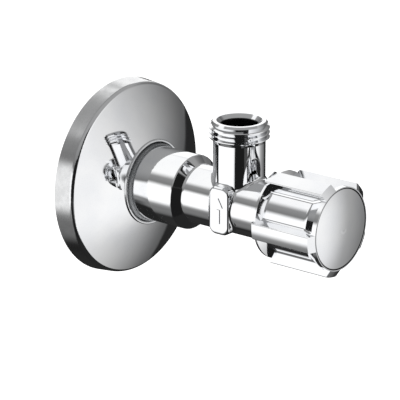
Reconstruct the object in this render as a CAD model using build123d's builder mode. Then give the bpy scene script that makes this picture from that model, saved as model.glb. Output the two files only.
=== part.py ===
"""Angle stop valve: a chrome-plated shut-off valve for a wash basin, with a sliding wall rosette.

Frame: the origin is on the inlet axis at the finished wall, +Y runs along the inlet axis into the wall,
+Z runs up along the outlet branch, and the handle faces -Y. Millimetres.
Outlines of turned pieces are (radius, station) pairs, a station being the distance in front of the wall.
"""

import os
from math import hypot

from build123d import *

# ---- driving dimensions ----------------------------------------------------------------------------------

# pipe threads: major radius, pitch, number of ridges
inlet_major, inlet_pitch, inlet_ridges = 10.35, 1.814, 8  # G 1/2
outlet_major, outlet_pitch, outlet_ridges = 8.331, 1.337, 3  # G 3/8
thread_depth_ratio = 0.6403  # depth of a 55 degree thread, in pitches
crest_ratio, root_ratio = 0.17, 0.13  # flats at crest and root, in pitches

# body, along the inlet axis
inlet_end = -13.0
inlet_thread_root = 2.0
seal_groove_front = 4.4
neck_front = 27.0
shoulder_front = 29.2
body_front = 58.3
neck_radius = 10.55
small_neck_radius = 8.3
seal_groove_radius = 9.0
shoulder_round, shoulder_root = 0.5, 0.9

# wrench pads
pad_back, pad_front = 39.3, 46.3
pad_across, pad_height, pad_corner, pad_round = 18.3, 13.6, 2.3, 0.9
arrow_length, arrow_shaft, arrow_head, arrow_rise = 7.0, 1.0, 3.0, 0.2

# outlet branch
outlet_station = 42.84
outlet_neck_radius = 7.2
outlet_top = 23.9
outlet_first_crest = 22.05
runout_radius, runout_top = 7.8, 23.3  # the first turn, cut short by the lip's chamfer
outlet_lip_radius = 7.3
cone_mouth_radius = 6.3
tube_socket_radius = 5.15
cone_foot, socket_floor = 22.75, 12.4
outlet_waterway_radius = 4.0
branch_fillet = 1.0

# waterway and valve seat
inlet_bore_radius = 6.2
inlet_bore_end, orifice_start = 33.0, 34.4
orifice_radius = 4.2
chamber_floor, seat_face = 35.4, 36.2
seat_lip_radius = 4.9
chamber_radius, chamber_front = 6.6, 47.6

# rosette
rim_radius = 27.9
rim_front_radius, rim_front = 27.35, 5.6
collar_radius, collar_foot, collar_front = 12.2, 11.9, 12.6
face_curve = 112.0  # radius of the face's slight bulge
sheet = 0.8
rim_round, collar_round = 1.5, 0.3
grip_inner, grip_outer, grip_front = 10.6, 11.05, 13.4
grip_foot_radius, grip_foot_back, grip_foot_front = 12.5, 10.0, 10.8

# headwork
bonnet_thread_radius, bonnet_clearance = 7.0, 0.02
bonnet_hex, bonnet_hex_front = 14.5, 62.5
bonnet_nose_radius, bonnet_nose_front = 5.4, 66.4
piston_bore_radius, guide_start = 4.6, 54.2
guide_hex, guide_clearance = 7.7, 0.05
thrust_shoulder = 61.9
journal_bore_radius = 3.0
bonnet_groove_back, bonnet_groove_front, bonnet_groove_radius = 55.9, 57.2, 5.9

# spindle
running = 0.05  # radial clearance of a running fit
journal_radius = journal_bore_radius - running
tail_radius, tail_end = 2.45, 52.2
spindle_collar_radius, spindle_collar_back, spindle_collar_front = 3.7, 60.2, 61.5
spindle_front = 72.6
spindle_groove_radius, spindle_groove_width = 2.1, 1.1
rear_groove, front_groove = 62.8, 64.6
clip_groove_back, clip_groove_front, clip_groove_radius = 66.45, 67.05, 2.3
spline_start = 67.5
spline_tip, spline_root, spline_teeth, spline_tooth_width = 2.9, 2.5, 12, 0.7
clip_outer, clip_gap = 4.2, 2.6
slip_washer_outer = 3.75

# plunger, in the closed position
lead = 1.25  # axial travel for one turn of the handle
opening_turns = 2.75
travel = lead * opening_turns
piston_back, piston_front, piston_groove_radius = 48.0, 50.6, 3.4
piston_groove_back, piston_groove_front = 48.7, 50.0
plunger_front = 56.6
plunger_stem_radius = 3.0
cup_radius, cup_floor, cup_front, cup_lip = 5.5, 38.3, 40.2, 37.2
seat_washer_radius = 5.0
washer_screw_head_radius, washer_screw_head_height = 2.2, 1.1
washer_screw_radius, washer_screw_end = 1.25, 42.0

# handle
handle_back, handle_front = 57.2, 77.5
lobe_radius, flute_radius = 13.55, 10.1
lobe_count, lobe_width, first_lobe = 5, 4.7, 42.2  # the lobes have parallel sides
front_ring_radius, front_chamfer = 11.6, 1.1
back_ring_radius, back_chamfer = 12.2, 0.5
flute_back, flute_back_ramp = 57.9, 58.8
flute_front_ramp, flute_front = 72.7, 76.2
flute_corner, lobe_round, ramp_round = 0.9, 0.35, 2.5
cavity_radius, web_back, web_front = 8.9, 68.2, 72.9
cap_plug_radius, cap_seat = 9.3, 76.5
cap_gap = 0.12
cap_radius, cap_edge, cap_crown = 11.1, 77.4, 78.45
cap_plug_back, cap_plug_wall = 74.3, 0.8
hub_hex, hub_clearance = 10.6, 0.05
hub_flange_radius, hub_flange_front = 6.6, 73.7
screw_radius, screw_end = 1.55, 66.0
screw_head_radius, screw_head_front = 3.6, 76.0
screw_hole_radius = 2.1
lock_washer_radius, lock_washer_front = 4.2, 74.3
recess_length, recess_width, recess_depth = 3.6, 0.9, 1.1

# ---- shared geometry -------------------------------------------------------------------------------------

station_plane = Plane(origin=(0, 0, 0), x_dir=(1, 0, 0), z_dir=(0, 0, -1))  # local y is the station
inlet_axis = Axis((0, 0, 0), (0, -1, 0))
branch_plane = Plane(origin=(0, -outlet_station, 0), x_dir=(1, 0, 0), z_dir=(0, -1, 0))  # local y is height
branch_axis = Axis((0, -outlet_station, 0), (0, 0, 1))


def section(outline, plane):
    """A flat face bounded by straight lines through the outline's points."""
    with BuildSketch(plane) as face:
        with BuildLine():
            Polyline(*outline, close=True)
        make_face()
    return face.sketch


def turn(*outline, mode=Mode.ADD, arc=360.0):
    """Turn an outline of (radius, station) points about the inlet axis."""
    revolve(section(outline, station_plane), axis=inlet_axis, revolution_arc=arc, mode=mode)


def turn_branch(*outline, mode=Mode.ADD):
    """Turn an outline of (radius, height) points about the outlet branch's axis."""
    revolve(section(outline, branch_plane), axis=branch_axis, mode=mode)


def bore(radius, back, front):
    """Cut a round hole about the inlet axis."""
    turn((0, back), (radius, back), (radius, front), (0, front), mode=Mode.SUBTRACT)


def ring(inner, outer, back, front):
    """A plain ring about the inlet axis."""
    turn((inner, back), (outer, back), (outer, front), (inner, front))


def across(station):
    """The plane square to the inlet axis at a station, facing the handle."""
    return Plane.XZ.offset(station)


def o_ring(inner, outer, middle):
    """A rubber O-ring that just fills the gap between two radii."""
    with BuildSketch(station_plane) as cord:
        with Locations(((inner + outer) / 2, middle)):
            Circle((outer - inner) / 2)
    revolve(cord.sketch, axis=inlet_axis)


def ridges(major, pitch, first, count):
    """Outline points of thread ridges, from the first ridge's middle onwards."""
    root = major - thread_depth_ratio * pitch
    foot, crest = pitch * (1 - root_ratio) / 2, pitch * crest_ratio / 2
    points = []
    for middle in [first + pitch * index for index in range(count)]:
        points += [(root, middle - foot), (major, middle - crest)]
        points += [(major, middle + crest), (root, middle + foot)]
    return points


def circles_at(part, radius, station):
    """The part's circular edges of one radius about the inlet axis at one station."""
    found = part.edges().filter_by(GeomType.CIRCLE)
    return found.filter_by(lambda e: abs(e.radius - radius) < 0.01 and abs(e.arc_center.Y + station) < 0.01)


def beyond(edge, radius):
    """Is this edge farther than the radius from the inlet axis?"""
    middle = edge.center()
    return hypot(middle.X, middle.Z) > radius


def on_branch_root(edge):
    """Does the outlet neck meet the rest of the body at this edge?"""
    middle = edge.center()
    from_axis = (middle.X**2 + (middle.Y + outlet_station) ** 2) ** 0.5
    return abs(from_axis - outlet_neck_radius) < branch_fillet and 0 < middle.Z < small_neck_radius + 1


def save(builder, name):
    """Name a finished piece and write it."""
    builder.part.label = name
    export_step(builder.part, f"parts/{name}.step")


os.makedirs("parts", exist_ok=True)

# ---- body ------------------------------------------------------------------------------------------------

inlet_root = inlet_major - thread_depth_ratio * inlet_pitch
inlet_first = inlet_thread_root - inlet_pitch * inlet_ridges + inlet_pitch / 2
outlet_last = outlet_first_crest - outlet_pitch * (outlet_ridges - 1)

with BuildPart(mode=Mode.PRIVATE) as wrench_pads:
    # one block through the body, softened round both faces, with a raised flow arrow on one of them
    pad_middle = (pad_back + pad_front) / 2
    with BuildSketch(Plane.YZ):
        with Locations((-pad_middle, 0)):
            RectangleRounded(pad_front - pad_back, pad_height, pad_corner)
    extrude(amount=pad_across / 2, both=True)
    fillet(wrench_pads.faces().sort_by(Axis.X)[0].edges(), pad_round)
    fillet(wrench_pads.faces().sort_by(Axis.X)[-1].edges(), pad_round)
    with BuildSketch(Plane.YZ.offset(-pad_across / 2 + 0.1)):
        with Locations((-pad_middle, -arrow_head / 2)):
            Rectangle(arrow_shaft, arrow_length - arrow_head)
        with Locations((-pad_middle, arrow_length / 2 - arrow_head / 2)):
            Triangle(a=arrow_head, b=arrow_head, c=arrow_head)
    extrude(amount=-arrow_rise - 0.1)

with BuildPart() as valve_body:
    # inlet thread, seal groove, slide neck, shoulder and small neck
    turn(
        (0, inlet_end),
        (inlet_root - 0.3, inlet_end),
        *ridges(inlet_major, inlet_pitch, inlet_first, inlet_ridges),
        (seal_groove_radius, inlet_thread_root),
        (seal_groove_radius, seal_groove_front),
        (neck_radius, seal_groove_front),
        (neck_radius, neck_front),
        (small_neck_radius, shoulder_front),
        (small_neck_radius, body_front),
        (0, body_front),
    )
    fillet(circles_at(valve_body, neck_radius, neck_front), shoulder_round)
    fillet(circles_at(valve_body, small_neck_radius, shoulder_front), shoulder_root)

    add(wrench_pads.part)

    # outlet branch with its thread
    turn_branch(
        (0, 0),
        (outlet_neck_radius, 0),
        (outlet_neck_radius, outlet_last - outlet_pitch),
        *ridges(outlet_major, outlet_pitch, outlet_last, outlet_ridges),
        (runout_radius, runout_top),
        (outlet_lip_radius, outlet_top),
        (0, outlet_top),
    )
    fillet(valve_body.edges().filter_by(on_branch_root), branch_fillet)

    # waterway: inlet bore, seat orifice, raised seat, chamber and headwork socket
    turn(
        (0, inlet_end),
        (inlet_bore_radius, inlet_end),
        (inlet_bore_radius, inlet_bore_end),
        (orifice_radius, orifice_start),
        (orifice_radius, seat_face),
        (seat_lip_radius, seat_face),
        (seat_lip_radius, chamber_floor),
        (chamber_radius, chamber_floor),
        (chamber_radius, chamber_front),
        (bonnet_thread_radius, chamber_front),
        (bonnet_thread_radius, body_front),
        (0, body_front),
        mode=Mode.SUBTRACT,
    )
    turn_branch(
        (0, 0),
        (outlet_waterway_radius, 0),
        (outlet_waterway_radius, socket_floor - 0.6),
        (tube_socket_radius, socket_floor),
        (tube_socket_radius, cone_foot),
        (cone_mouth_radius, outlet_top),
        (0, outlet_top),
        mode=Mode.SUBTRACT,
    )
save(valve_body, "valve_body")

with BuildPart() as inlet_seal_ring:
    ring(seal_groove_radius, inlet_major - 0.25, inlet_thread_root + 0.1, seal_groove_front - 0.1)
save(inlet_seal_ring, "inlet_seal_ring")

# ---- rosette ---------------------------------------------------------------------------------------------

hole_radius = collar_radius - sheet
rim_inside = rim_front_radius - sheet
mid_face = (rim_front_radius + collar_radius) / 2

# the centre of the arc that makes the face's section, from the rim to the collar
face_width, face_rise = rim_front_radius - collar_radius, collar_foot - rim_front
face_chord = hypot(face_width, face_rise)
centre_depth = (face_curve**2 - (face_chord / 2) ** 2) ** 0.5
centre_radius = mid_face - centre_depth * face_rise / face_chord
centre_station = (rim_front + collar_foot) / 2 - centre_depth * face_width / face_chord


def on_face(radius, depth=0.0):
    """The point at a radius on the face's section, or on its inside at a depth."""
    return radius, centre_station + ((face_curve - depth) ** 2 - (radius - centre_radius) ** 2) ** 0.5


with BuildPart() as rosette:
    with BuildSketch(station_plane) as rosette_section:
        with BuildLine():
            Polyline(on_face(rim_inside, sheet), (rim_radius - sheet, 0), (rim_radius, 0), on_face(rim_front_radius))
            ThreePointArc(on_face(rim_front_radius), on_face(mid_face), on_face(collar_radius))
            Polyline(
                on_face(collar_radius),
                (collar_radius, collar_front),
                (hole_radius, collar_front),
                on_face(hole_radius, sheet),
            )
            ThreePointArc(on_face(hole_radius, sheet), on_face(mid_face, sheet), on_face(rim_inside, sheet))
        make_face()
    revolve(axis=inlet_axis)
    fillet(circles_at(rosette, rim_front_radius, rim_front), rim_round)
    fillet(circles_at(rosette, collar_radius, collar_front), collar_round)
    fillet(circles_at(rosette, hole_radius, collar_front), collar_round)
save(rosette, "rosette")

with BuildPart() as rosette_grip_ring:
    ring(grip_inner, grip_outer, grip_foot_back, grip_front)
    ring(grip_inner, grip_foot_radius, grip_foot_back, grip_foot_front)
save(rosette_grip_ring, "rosette_grip_ring")

# ---- headwork --------------------------------------------------------------------------------------------

barrel_radius = bonnet_thread_radius - bonnet_clearance

with BuildPart() as headwork_bonnet:
    turn(
        (0, chamber_front),
        (barrel_radius, chamber_front),
        (barrel_radius, bonnet_groove_back),
        (bonnet_groove_radius, bonnet_groove_back),
        (bonnet_groove_radius, bonnet_groove_front),
        (barrel_radius, bonnet_groove_front),
        (barrel_radius, body_front),
        (bonnet_nose_radius, body_front),
        (bonnet_nose_radius, bonnet_nose_front),
        (0, bonnet_nose_front),
    )
    with BuildSketch(across(body_front)):
        RegularPolygon(bonnet_hex / 2, 6, major_radius=False)
    extrude(amount=bonnet_hex_front - body_front)
    bore(piston_bore_radius, chamber_front, guide_start)
    with BuildSketch(across(guide_start)):
        RegularPolygon(guide_hex / 2 + guide_clearance, 6, major_radius=False)
    extrude(amount=thrust_shoulder - guide_start, mode=Mode.SUBTRACT)
    bore(journal_bore_radius, thrust_shoulder, bonnet_nose_front)
save(headwork_bonnet, "headwork_bonnet")

with BuildPart() as bonnet_o_ring:
    o_ring(
        bonnet_groove_radius + 0.01,
        bonnet_thread_radius - 0.01,
        (bonnet_groove_back + bonnet_groove_front) / 2,
    )
save(bonnet_o_ring, "bonnet_o_ring")

# ---- spindle and what turns with it ----------------------------------------------------------------------


def spline_profile(station, growth):
    """The spindle's spline as a sketch, grown all round by a clearance."""
    with BuildSketch(across(station)) as teeth:
        Circle(spline_root + growth)
        with PolarLocations(spline_root, spline_teeth):
            Rectangle(2 * (spline_tip + growth - spline_root), spline_tooth_width + 2 * growth)
    return teeth.sketch


with BuildPart() as spindle:
    turn(
        (0, tail_end),
        (tail_radius, tail_end),
        (tail_radius, spindle_collar_back),
        (spindle_collar_radius, spindle_collar_back),
        (spindle_collar_radius, spindle_collar_front),
        (journal_radius, spindle_collar_front),
        (journal_radius, rear_groove),
        (spindle_groove_radius, rear_groove),
        (spindle_groove_radius, rear_groove + spindle_groove_width),
        (journal_radius, rear_groove + spindle_groove_width),
        (journal_radius, front_groove),
        (spindle_groove_radius, front_groove),
        (spindle_groove_radius, front_groove + spindle_groove_width),
        (journal_radius, front_groove + spindle_groove_width),
        (journal_radius, clip_groove_back),
        (clip_groove_radius, clip_groove_back),
        (clip_groove_radius, clip_groove_front),
        (journal_radius, clip_groove_front),
        (journal_radius, spline_start),
        (0, spline_start),
    )
    extrude(spline_profile(spline_start, 0), amount=spindle_front - spline_start)
    bore(screw_radius + running, screw_end - 0.5, spindle_front)
save(spindle, "spindle")

for name, groove in (("spindle_o_ring_rear", rear_groove), ("spindle_o_ring_front", front_groove)):
    with BuildPart() as spindle_o_ring:
        o_ring(spindle_groove_radius + 0.01, journal_bore_radius - 0.02, groove + spindle_groove_width / 2)
    save(spindle_o_ring, name)

with BuildPart() as spindle_slip_washer:
    ring(journal_radius + 0.02, slip_washer_outer, spindle_collar_front, thrust_shoulder - 0.03)
save(spindle_slip_washer, "spindle_slip_washer")

with BuildPart() as spindle_retaining_clip:
    ring(clip_groove_radius + 0.02, clip_outer, clip_groove_back + 0.02, clip_groove_front - 0.02)
    with BuildSketch(across(clip_groove_back)):
        with Locations((0, -clip_outer)):
            Rectangle(clip_gap, 2 * clip_outer)
    extrude(amount=clip_groove_front - clip_groove_back, mode=Mode.SUBTRACT)
save(spindle_retaining_clip, "spindle_retaining_clip")

# ---- plunger, drawn closed -------------------------------------------------------------------------------

with BuildPart() as plunger:
    turn(
        (0, cup_floor),
        (seat_washer_radius, cup_floor),
        (seat_washer_radius, cup_lip),
        (cup_radius, cup_lip),
        (cup_radius, cup_front),
        (plunger_stem_radius, cup_front),
        (plunger_stem_radius, piston_back),
        (piston_bore_radius - running, piston_back),
        (piston_bore_radius - running, piston_groove_back),
        (piston_groove_radius, piston_groove_back),
        (piston_groove_radius, piston_groove_front),
        (piston_bore_radius - running, piston_groove_front),
        (piston_bore_radius - running, piston_front),
        (0, piston_front),
    )
    with BuildSketch(across(piston_front)):
        RegularPolygon(guide_hex / 2, 6, major_radius=False)
    extrude(amount=plunger_front - piston_front)
    bore(tail_radius + running, tail_end - travel - 0.2, plunger_front)
    bore(washer_screw_radius + running, cup_floor, washer_screw_end + 0.4)
save(plunger, "plunger")

with BuildPart() as plunger_o_ring:
    o_ring(
        piston_groove_radius + 0.01,
        piston_bore_radius - 0.02,
        (piston_groove_back + piston_groove_front) / 2,
    )
save(plunger_o_ring, "plunger_o_ring")

with BuildPart() as seat_washer:
    ring(washer_screw_radius + running, seat_washer_radius, seat_face + 0.02, cup_floor)
save(seat_washer, "seat_washer")

with BuildPart() as seat_washer_screw:
    head_back = seat_face + 0.02 - washer_screw_head_height
    turn(
        (0, head_back),
        (washer_screw_head_radius, head_back),
        (washer_screw_head_radius, seat_face + 0.02),
        (washer_screw_radius, seat_face + 0.02),
        (washer_screw_radius, washer_screw_end),
        (0, washer_screw_end),
    )
    fillet(circles_at(seat_washer_screw, washer_screw_head_radius, head_back), 0.4)
    with BuildSketch(across(head_back)):
        Rectangle(2 * washer_screw_head_radius, 0.6)
    extrude(amount=0.5, mode=Mode.SUBTRACT)
save(seat_washer_screw, "seat_washer_screw")

# ---- handle ----------------------------------------------------------------------------------------------

with BuildPart(mode=Mode.PRIVATE) as lobes:
    # ribs with parallel sides, chamfered at both ends by one turned outline
    with BuildSketch(across(handle_back)) as lobe_plan:
        for index in range(lobe_count):
            with Locations(Rotation(0, 0, first_lobe + 360.0 / lobe_count * index)):
                Rectangle(lobe_radius + 1, lobe_width, align=(Align.MIN, Align.CENTER))
        Circle(lobe_radius, mode=Mode.INTERSECT)
        fillet(lobe_plan.vertices().filter_by(lambda v: hypot(v.X, v.Y) > lobe_radius - 0.1), lobe_round)
    extrude(amount=handle_front - handle_back)
    turn(
        (0, handle_back),
        (lobe_radius - back_chamfer, handle_back),
        (lobe_radius, handle_back + back_chamfer),
        (lobe_radius, handle_front - front_chamfer),
        (front_ring_radius, handle_front),
        (0, handle_front),
        mode=Mode.INTERSECT,
    )

with BuildPart() as handle:
    # the core between the lobes has a short ramp at the back and a long one at the front
    turn(
        (0, handle_back),
        (back_ring_radius, handle_back),
        (back_ring_radius, flute_back),
        (flute_radius, flute_back_ramp),
        (flute_radius, flute_front_ramp),
        (front_ring_radius, flute_front),
        (front_ring_radius, handle_front),
        (0, handle_front),
    )
    fillet(circles_at(handle, flute_radius, flute_front_ramp), ramp_round)
    add(lobes.part)
    long_edges = handle.edges().filter_by(Axis.Y).filter_by(lambda e: e.length > 10)
    fillet(long_edges.filter_by(lambda e: not beyond(e, flute_radius + 0.5)), flute_corner)
    bore(cavity_radius, handle_back, web_back)
    with BuildSketch(across(web_back)):
        RegularPolygon(hub_hex / 2 + hub_clearance, 6, major_radius=False)
    extrude(amount=web_front - web_back, mode=Mode.SUBTRACT)
    bore(cap_plug_radius, web_front, cap_seat)
    bore(cap_radius + cap_gap, cap_seat, handle_front)
save(handle, "handle")

with BuildPart() as handle_insert:
    with BuildSketch(across(web_back)):
        RegularPolygon(hub_hex / 2, 6, major_radius=False)
    extrude(amount=web_front - web_back)
    ring(0, hub_flange_radius, web_front, hub_flange_front)
    extrude(spline_profile(web_back, running), amount=spindle_front + 0.3 - web_back, mode=Mode.SUBTRACT)
    bore(screw_hole_radius, web_back, hub_flange_front)
save(handle_insert, "handle_insert")

with BuildPart() as handle_screw_washer:
    ring(screw_hole_radius, lock_washer_radius, hub_flange_front, lock_washer_front)
    with BuildSketch(across(hub_flange_front)):
        with Locations(((lock_washer_radius + screw_hole_radius) / 2, 0)):
            Rectangle(lock_washer_radius - screw_hole_radius + 1, 0.5, rotation=20)
    extrude(amount=lock_washer_front - hub_flange_front, mode=Mode.SUBTRACT)
save(handle_screw_washer, "handle_screw_washer")

with BuildPart() as handle_screw:
    turn(
        (0, screw_end),
        (screw_radius, screw_end),
        (screw_radius, lock_washer_front),
        (screw_head_radius, lock_washer_front),
        (screw_head_radius, screw_head_front),
        (0, screw_head_front),
    )
    fillet(circles_at(handle_screw, screw_head_radius, screw_head_front), 0.8)
    with BuildSketch(across(screw_head_front - recess_depth)):
        Rectangle(recess_length, recess_width)
        Rectangle(recess_width, recess_length)
    extrude(amount=recess_depth, mode=Mode.SUBTRACT)
save(handle_screw, "handle_screw")

with BuildPart() as handle_cap:
    with BuildSketch(station_plane) as cap_section:
        with BuildLine():
            Polyline(
                (0, cap_crown),
                (0, cap_seat),
                (cap_plug_radius - running - cap_plug_wall, cap_seat),
                (cap_plug_radius - running - cap_plug_wall, cap_plug_back),
                (cap_plug_radius - running, cap_plug_back),
                (cap_plug_radius - running, cap_seat),
                (cap_radius, cap_seat),
                (cap_radius, cap_edge),
            )
            crown_sag = cap_crown - cap_edge
            crown_curve = (cap_radius**2 + crown_sag**2) / (2 * crown_sag)
            RadiusArc((cap_radius, cap_edge), (0, cap_crown), -crown_curve)
        make_face()
    revolve(axis=inlet_axis)
    fillet(circles_at(handle_cap, cap_radius, cap_edge), 0.25)
save(handle_cap, "handle_cap")
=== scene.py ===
"""Looks of the angle stop valve: chrome, brass, rubber and studio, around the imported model."""

import math

import bpy
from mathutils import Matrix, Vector


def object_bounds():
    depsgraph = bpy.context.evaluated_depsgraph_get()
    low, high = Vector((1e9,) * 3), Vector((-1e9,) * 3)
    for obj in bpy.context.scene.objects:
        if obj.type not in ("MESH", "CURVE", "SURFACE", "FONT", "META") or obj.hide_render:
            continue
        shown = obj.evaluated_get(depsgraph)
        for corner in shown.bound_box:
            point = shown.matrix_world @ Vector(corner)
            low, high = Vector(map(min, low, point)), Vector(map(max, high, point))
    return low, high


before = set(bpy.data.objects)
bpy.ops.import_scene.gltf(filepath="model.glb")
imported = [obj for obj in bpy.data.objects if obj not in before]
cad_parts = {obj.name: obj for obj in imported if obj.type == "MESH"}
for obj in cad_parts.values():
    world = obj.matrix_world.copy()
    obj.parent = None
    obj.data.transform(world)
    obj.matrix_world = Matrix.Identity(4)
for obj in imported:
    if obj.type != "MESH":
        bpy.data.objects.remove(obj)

cad_low, cad_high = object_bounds()
mm = 0.001
origin, inlet_way, upward = (0, 0, 0), (0, 1, 0), (0, 0, 1)  # the inlet axis runs through the origin

# ---- small helpers for node trees ------------------------------------------------------------------------


class Nodes:
    """Builds a node tree with one call a node; arguments may be numbers, tuples or another node's output."""

    def __init__(self, tree):
        self.tree = tree

    def new(self, kind, settings=None, **inputs):
        node = self.tree.nodes.new(kind)
        for name, value in (settings or {}).items():
            setattr(node, name, value)
        for name, value in inputs.items():
            self.put(node.inputs[name.replace("_", " ")], value)
        return node

    def put(self, socket, value):
        if isinstance(value, bpy.types.NodeSocket):
            self.tree.links.new(value, socket)
        else:
            socket.default_value = value

    def math(self, operation, *values, clamp=False):
        node = self.tree.nodes.new("ShaderNodeMath")
        node.operation, node.use_clamp = operation, clamp
        for socket, value in zip(node.inputs, values):
            self.put(socket, value)
        return node.outputs[0]

    def dot(self, vector, direction):
        return self.vector("DOT_PRODUCT", vector, direction, output="Value")

    def smooth(self, value, low, high, bottom=0.0, top=1.0):
        """Eases from bottom to top as value goes from low to high."""
        node = self.tree.nodes.new("ShaderNodeMapRange")
        node.interpolation_type = "SMOOTHSTEP"
        names = ("Value", "From Min", "From Max", "To Min", "To Max")
        for name, item in zip(names, (value, low, high, bottom, top)):
            self.put(node.inputs[name], item)
        return node.outputs[0]

    def mix(self, share, first, second):
        """Mixes two greys."""
        node = self.tree.nodes.new("ShaderNodeMix")
        node.data_type = "FLOAT"
        for socket, value in zip((node.inputs[0], node.inputs[2], node.inputs[3]), (share, first, second)):
            self.put(socket, value)
        return node.outputs[0]

    def tint(self, share, first, second):
        """Mixes two colours; a colour may be three numbers."""
        node = self.tree.nodes.new("ShaderNodeMix")
        node.data_type = "RGBA"
        self.put(node.inputs[0], share)
        for socket, colour in ((node.inputs[6], first), (node.inputs[7], second)):
            self.put(socket, (*colour, 1) if isinstance(colour, tuple) else colour)
        return node.outputs[2]

    def vector(self, operation, *values, output="Vector"):
        node = self.tree.nodes.new("ShaderNodeVectorMath")
        node.operation = operation
        for socket, value in zip(node.inputs, values):
            self.put(socket, value)
        return node.outputs[output]

    def away_from(self, place, axis_point, axis):
        """The distance of a place from a straight axis."""
        offset = self.vector("SUBTRACT", place, axis_point)
        return self.vector("LENGTH", self.vector("CROSS_PRODUCT", offset, axis), output="Value")


# ---- studio ----------------------------------------------------------------------------------------------


def bearing(azimuth, elevation):
    """Unit direction from the object: azimuth 0 points to the viewer's side (-Y), 90 to +X."""
    a, e = math.radians(azimuth), math.radians(elevation)
    return Vector((math.sin(a) * math.cos(e), -math.cos(a) * math.cos(e), math.sin(e)))


least_depth, full_depth = 0.05, 0.15  # a card fades out before it reaches the side of the sky away from it


def add_card(build, direction, grey, azimuth, elevation, wide, high, near, far, soft):
    """Lays a soft-edged card over the studio's grey: its sizes are in degrees, and its brightness eases from
    near to far as the azimuth grows."""
    middle = bearing(azimuth, elevation)
    side = Vector(upward).cross(middle).normalized()
    up = middle.cross(side)
    depth = build.dot(direction, middle)
    safe = build.math("MAXIMUM", depth, least_depth)
    share = build.smooth(depth, least_depth, full_depth)
    for axis, size in ((side, wide), (up, high)):
        offset = build.math("DIVIDE", build.dot(direction, axis), safe)
        edge = math.tan(math.radians(size / 2))
        inside = build.smooth(build.math("ABSOLUTE", offset), edge * (1 - soft), edge * (1 + soft), 1.0, 0.0)
        share = build.math("MULTIPLY", share, inside)
        if axis is side:
            value = build.smooth(offset, -edge, edge, near, far)
    return build.mix(share, grey, value)


table_grey, wall_grey, ceiling_grey = 0.02, 0.16, 0.35  # the studio behind its cards
backdrop_colour = (0.93, 0.93, 0.93, 1)  # what the camera itself sees behind the valve


def make_world():
    """A white studio with grey gradients and black flags, all placed by direction."""
    world = bpy.data.worlds.new("studio")
    bpy.context.scene.world = world
    world.use_nodes = True
    tree = world.node_tree
    tree.nodes.clear()
    build = Nodes(tree)
    direction = build.new("ShaderNodeTexCoord").outputs["Generated"]
    height = build.dot(direction, upward)
    grey = build.smooth(height, -0.82, -0.55, table_grey, wall_grey)
    grey = build.mix(build.smooth(height, 0.1, 0.8), grey, ceiling_grey)
    for card in STUDIO_CARDS:
        grey = add_card(build, direction, grey, *card)
    colour = build.new("ShaderNodeCombineColor", Red=grey, Green=grey, Blue=grey).outputs[0]
    seen = build.new("ShaderNodeLightPath").outputs["Is Camera Ray"]
    studio = build.new("ShaderNodeBackground", Color=colour, Strength=1.0)
    backdrop = build.new("ShaderNodeBackground", Color=backdrop_colour, Strength=1.0)
    blend = build.new("ShaderNodeMixShader", Fac=seen)
    tree.links.new(studio.outputs[0], blend.inputs[1])
    tree.links.new(backdrop.outputs[0], blend.inputs[2])
    out = build.new("ShaderNodeOutputWorld")
    tree.links.new(blend.outputs[0], out.inputs["Surface"])


# azimuth, elevation, width and height in degrees, brightness at either end, edge softness;
# later cards lie over earlier ones
STUDIO_CARDS = (
    (137, -32, 102, 60, 0.02, 0.03, 0.06),  # black flag beside the wall, on the right
    (36.5, -6, 101, 96, 1.05, 0.12, 0.06),  # frontal sweep, falling off to the right
    (24, -20, 44, 36, 1.05, 0.95, 0.6),  # the bright middle of the sweep
    (-124, -36, 96, 20, 0.4, 0.25, 0.4),  # the left softbox's spill on the table
    (-128, -47, 44, 22, 0.2, 0.2, 0.5),  # the spill's tail below the rosette
    (-122, -7, 100, 46, 1.15, 1.15, 0.28),  # large softbox on the left
    (133, 17, 36, 38, 1.2, 1.2, 0.15),  # strip light behind, on the right
    (178, 47, 66, 20, 1.05, 1.05, 0.25),  # soft top light over the wall
    (-50.5, -20, 39, 80, 0.012, 0.012, 0.07),  # the camera's side
    (-24, 12, 20, 60, 0.012, 0.012, 0.15),  # flag between the camera and the sweep
)


floor_size, floor_drop = 12.0, 0.35  # metres


def make_floor():
    """A plain pale floor, well below the valve."""
    bpy.ops.mesh.primitive_grid_add(x_subdivisions=4, y_subdivisions=4, size=floor_size)
    floor = bpy.context.object
    floor.name = "floor"
    floor.location = (0, 0, cad_low.z - floor_drop)
    pale = bpy.data.materials.new("floor_pale")
    pale.use_nodes = True
    shader = pale.node_tree.nodes["Principled BSDF"]
    shader.inputs["Base Color"].default_value = (0.95, 0.95, 0.95, 1)
    shader.inputs["Roughness"].default_value = 0.9
    shader.inputs["Emission Color"].default_value = (1, 1, 1, 1)
    shader.inputs["Emission Strength"].default_value = 0.9
    floor.data.materials.append(pale)
    floor.visible_glossy = False


camera_azimuth, camera_elevation, camera_distance = -51.01, 18.35, 770.7 * mm
aim_station, aim_left, aim_up = 40 * mm, 8.498 * mm, 0.340 * mm  # the camera aims beside the inlet axis


def make_camera():
    """The camera stands to the front left, a little above the valve."""
    back = bearing(camera_azimuth, camera_elevation)
    right = Vector(upward).cross(back).normalized()
    up = back.cross(right)
    target = Vector((0, -aim_station, 0)) - right * aim_left + up * aim_up
    data = bpy.data.cameras.new("camera")
    data.lens, data.sensor_width = 252.3, 36.0
    camera = bpy.data.objects.new("camera", data)
    camera.location = target + back * camera_distance
    camera.rotation_mode = "QUATERNION"
    camera.rotation_quaternion = (-back).to_track_quat("-Z", "Y")
    data.clip_start, data.clip_end = 0.05, 30.0
    bpy.context.scene.collection.objects.link(camera)
    bpy.context.scene.camera = camera


# ---- materials -------------------------------------------------------------------------------------------

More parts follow.
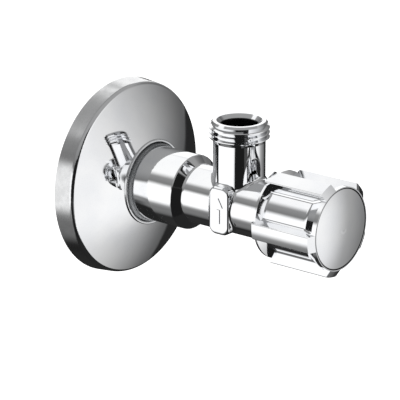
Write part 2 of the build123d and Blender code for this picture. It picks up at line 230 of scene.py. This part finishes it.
# linear colours, as the lighter and the darker tone of each substance
CHROME_TONES = ((0.93, 0.935, 0.94), (0.87, 0.88, 0.90))
BRASS_TONES = ((0.82, 0.62, 0.32), (0.66, 0.47, 0.22))
STEEL_TONES = ((0.72, 0.72, 0.70), (0.52, 0.52, 0.52))
RIM_TONES = ((0.74, 0.745, 0.75), (0.66, 0.665, 0.67))
DULL_TONES = ((0.56, 0.56, 0.55), (0.42, 0.41, 0.40))
# painted shade: dark greys for the outlet's tube socket, standing in for the shade inside its bore
SOCKET_PAINTED_SHADE_TONES = ((0.13, 0.13, 0.13), (0.06, 0.06, 0.06))
RUBBER_TONES = ((0.030, 0.030, 0.032), (0.012, 0.012, 0.013))
SEAT_RUBBER_TONES = ((0.045, 0.040, 0.038), (0.020, 0.018, 0.018))
INSERT_TONES = ((0.050, 0.050, 0.052), (0.022, 0.022, 0.024))
GRIP_TONES = ((0.34, 0.35, 0.36), (0.24, 0.25, 0.26))
PTFE_TONES = ((0.86, 0.86, 0.84), (0.76, 0.76, 0.73))
# painted shade and dirt: the dark line in the gap between handle and cap
SEAM_PAINTED_SHADE_COLOUR = (0.03, 0.03, 0.03)

waterway_radius = 7.05 * mm  # everything nearer to the inlet axis than this is inside the body
# the bore within this radius is painted dark as shade
socket_radius = 5.3 * mm  # the outlet's tube socket lies within it
socket_depth = 2.0 * mm  # the branch's inside is told apart from this height upwards
outlet_foot = (0, -42.84 * mm, 0)
seam_radius, seam_station = 11.16 * mm, 76.4 * mm  # between the handle and its cap
seam_half, seam_edge = 0.1 * mm, 0.22 * mm  # from the seam's middle, where it starts to fade and where it ends
lathe_scale = 2600.0  # of the marks that turning leaves


def blank_material(name):
    """A new material with its shader and a node builder."""
    material = bpy.data.materials.new(name)
    material.use_nodes = True
    return material, material.node_tree.nodes["Principled BSDF"], Nodes(material.node_tree)


def grain_of(build, place, scale, low=0.3, high=0.7):
    """A 0 to 1 noise of one scale."""
    noise = build.new("ShaderNodeTexNoise", Vector=place, Scale=scale, Detail=3.0, Roughness=0.55)
    return build.smooth(noise.outputs["Fac"], low, high)


def turned_place(build, place):
    """Radius and station in place of a point, so that a grain runs in rings as a lathe leaves it."""
    radius = build.away_from(place, origin, inlet_way)
    station = build.dot(place, inlet_way)
    return build.new("ShaderNodeCombineXYZ", X=radius, Y=station, Z=0.0).outputs[0]


def relieve(build, shader, height, strength, depth):
    """Raises the grain a little."""
    bump = build.new("ShaderNodeBump", Strength=strength, Distance=depth, Height=height)
    build.put(shader.inputs["Normal"], bump.outputs[0])


def chrome(name, waviness=0.0, gloss=(0.03, 0.07)):
    """Bright plate over a polished base, with wipe marks and, on castings, a faint waviness."""
    material, shader, build = blank_material(name)
    place = build.new("ShaderNodeTexCoord").outputs["Object"]
    smudge = grain_of(build, place, 90.0)
    shader.inputs["Metallic"].default_value = 1.0
    build.put(shader.inputs["Base Color"], build.tint(smudge, *CHROME_TONES))
    build.put(shader.inputs["Roughness"], build.mix(smudge, *gloss))
    if waviness:
        relieve(build, shader, grain_of(build, place, 260.0, 0.2, 0.8), waviness, 0.1 * mm)
    return material


def reopened_chrome(name, **settings):
    """Bright plate to be changed in places, with the outputs that hold its colour and gloss."""
    material = chrome(name, **settings)
    shader, build = material.node_tree.nodes["Principled BSDF"], Nodes(material.node_tree)
    plate = shader.inputs["Base Color"].links[0].from_socket
    gloss = shader.inputs["Roughness"].links[0].from_socket
    return material, shader, build, plate, gloss


def knob_chrome(name):
    """Bright plate with a dark line of painted shade and dirt in the seam where the cap sits in the handle."""
    material, shader, build, plate, _ = reopened_chrome(name)
    place = build.new("ShaderNodeTexCoord").outputs["Object"]
    off_seam = build.math("SUBTRACT", build.away_from(place, origin, inlet_way), seam_radius)
    near = build.smooth(build.math("ABSOLUTE", off_seam), seam_half, seam_edge, 1.0, 0.0)
    front = build.math("LESS_THAN", build.dot(place, inlet_way), -seam_station)
    seam_shade = build.math("MULTIPLY", near, front)
    # painted shade and dirt: a dark line along the seam between cap and handle
    build.put(shader.inputs["Base Color"], build.tint(seam_shade, plate, SEAM_PAINTED_SHADE_COLOUR))
    return material


def body_chrome():
    """The body's plate; its waterway is machined brass, and the outlet's tube socket is dull, with painted
    shade making it dark.
    """
    material, shader, build, plate, gloss = reopened_chrome("body_chrome", waviness=0.04)
    place = build.new("ShaderNodeTexCoord").outputs["Object"]
    marks = grain_of(build, turned_place(build, place), lathe_scale)
    waterway = build.math("LESS_THAN", build.away_from(place, origin, inlet_way), waterway_radius)
    within = build.math("LESS_THAN", build.away_from(place, outlet_foot, upward), socket_radius)
    above = build.math("GREATER_THAN", build.dot(place, upward), socket_depth)
    socket = build.math("MULTIPLY", within, above)
    colour = build.tint(waterway, plate, build.tint(marks, *BRASS_TONES))
    # painted shade: the tube socket's bore takes dark greys in place of the shade inside it
    colour = build.tint(socket, colour, build.tint(marks, *SOCKET_PAINTED_SHADE_TONES))
    build.put(shader.inputs["Base Color"], colour)
    inside = build.math("MAXIMUM", waterway, socket)
    build.put(shader.inputs["Roughness"], build.mix(inside, gloss, build.mix(marks, 0.22, 0.34)))
    return material


def pressed_chrome():
    """The rosette's plate: bright in front, softer round its rim, and dull on its inside."""
    material, shader, build, plate, gloss = reopened_chrome("pressed_chrome")
    coordinates = build.new("ShaderNodeTexCoord")
    backward = build.dot(coordinates.outputs["Normal"], inlet_way)
    grain = grain_of(build, coordinates.outputs["Object"], 420.0)
    rim = build.smooth(build.math("ABSOLUTE", backward), 0.15, 0.4, 1.0, 0.0)
    colour = build.tint(rim, plate, build.tint(grain, *RIM_TONES))
    gloss = build.mix(rim, gloss, build.mix(grain, 0.13, 0.19))
    inside = build.smooth(backward, 0.02, 0.06)
    build.put(shader.inputs["Base Color"], build.tint(inside, colour, build.tint(grain, *DULL_TONES)))
    build.put(shader.inputs["Roughness"], build.mix(inside, gloss, build.mix(grain, 0.28, 0.42)))
    return material


def turned_metal(name, tones, gloss=(0.16, 0.30), scale=lathe_scale):
    """Metal off the lathe, with fine rings about the inlet axis."""
    material, shader, build = blank_material(name)
    rings = turned_place(build, build.new("ShaderNodeTexCoord").outputs["Object"])
    marks = grain_of(build, rings, scale)
    shader.inputs["Metallic"].default_value = 1.0
    build.put(shader.inputs["Base Color"], build.tint(marks, *tones))
    build.put(shader.inputs["Roughness"], build.mix(marks, *gloss))
    relieve(build, shader, marks, 0.25, 0.01 * mm)
    return material


def moulded(name, tones, gloss, scale=700.0, strength=0.2):
    """Rubber or plastic with a fine moulded grain and uneven gloss."""
    material, shader, build = blank_material(name)
    place = build.new("ShaderNodeTexCoord").outputs["Object"]
    grain = grain_of(build, place, scale)
    build.put(shader.inputs["Base Color"], build.tint(grain_of(build, place, scale / 5), *tones))
    build.put(shader.inputs["Roughness"], build.mix(grain, *gloss))
    relieve(build, shader, grain, strength, 0.02 * mm)
    return material


def finish_all():
    """Gives every piece its substance."""
    rubber = moulded("rubber", RUBBER_TONES, (0.38, 0.55))
    ptfe = moulded("ptfe", PTFE_TONES, (0.35, 0.5), 500.0, 0.1)
    steel = turned_metal("zinc_steel", STEEL_TONES, (0.24, 0.38), 1400.0)
    brass = turned_metal("turned_brass", BRASS_TONES)
    finishes = {
        "valve_body": body_chrome(),
        "inlet_seal_ring": ptfe,
        "rosette": pressed_chrome(),
        "rosette_grip_ring": moulded("grip_plastic", GRIP_TONES, (0.3, 0.42)),
        "headwork_bonnet": brass,
        "bonnet_o_ring": rubber,
        "spindle": brass,
        "spindle_o_ring_rear": rubber,
        "spindle_o_ring_front": rubber,
        "spindle_slip_washer": ptfe,
        "spindle_retaining_clip": steel,
        "plunger": brass,
        "plunger_o_ring": rubber,
        "seat_washer": moulded("seat_rubber", SEAT_RUBBER_TONES, (0.45, 0.6), 500.0),
        "seat_washer_screw": steel,
        "handle": knob_chrome("handle_chrome"),
        "handle_insert": moulded("insert_plastic", INSERT_TONES, (0.35, 0.48)),
        "handle_screw": steel,
        "handle_screw_washer": steel,
        "handle_cap": knob_chrome("cap_chrome"),
    }
    for node, material in finishes.items():
        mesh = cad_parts[node].data
        mesh.materials.clear()
        mesh.materials.append(material)


# ---- the scene -------------------------------------------------------------------------------------------

bpy.context.scene.view_settings.view_transform = "Standard"
make_world()
make_floor()
make_camera()
finish_all()
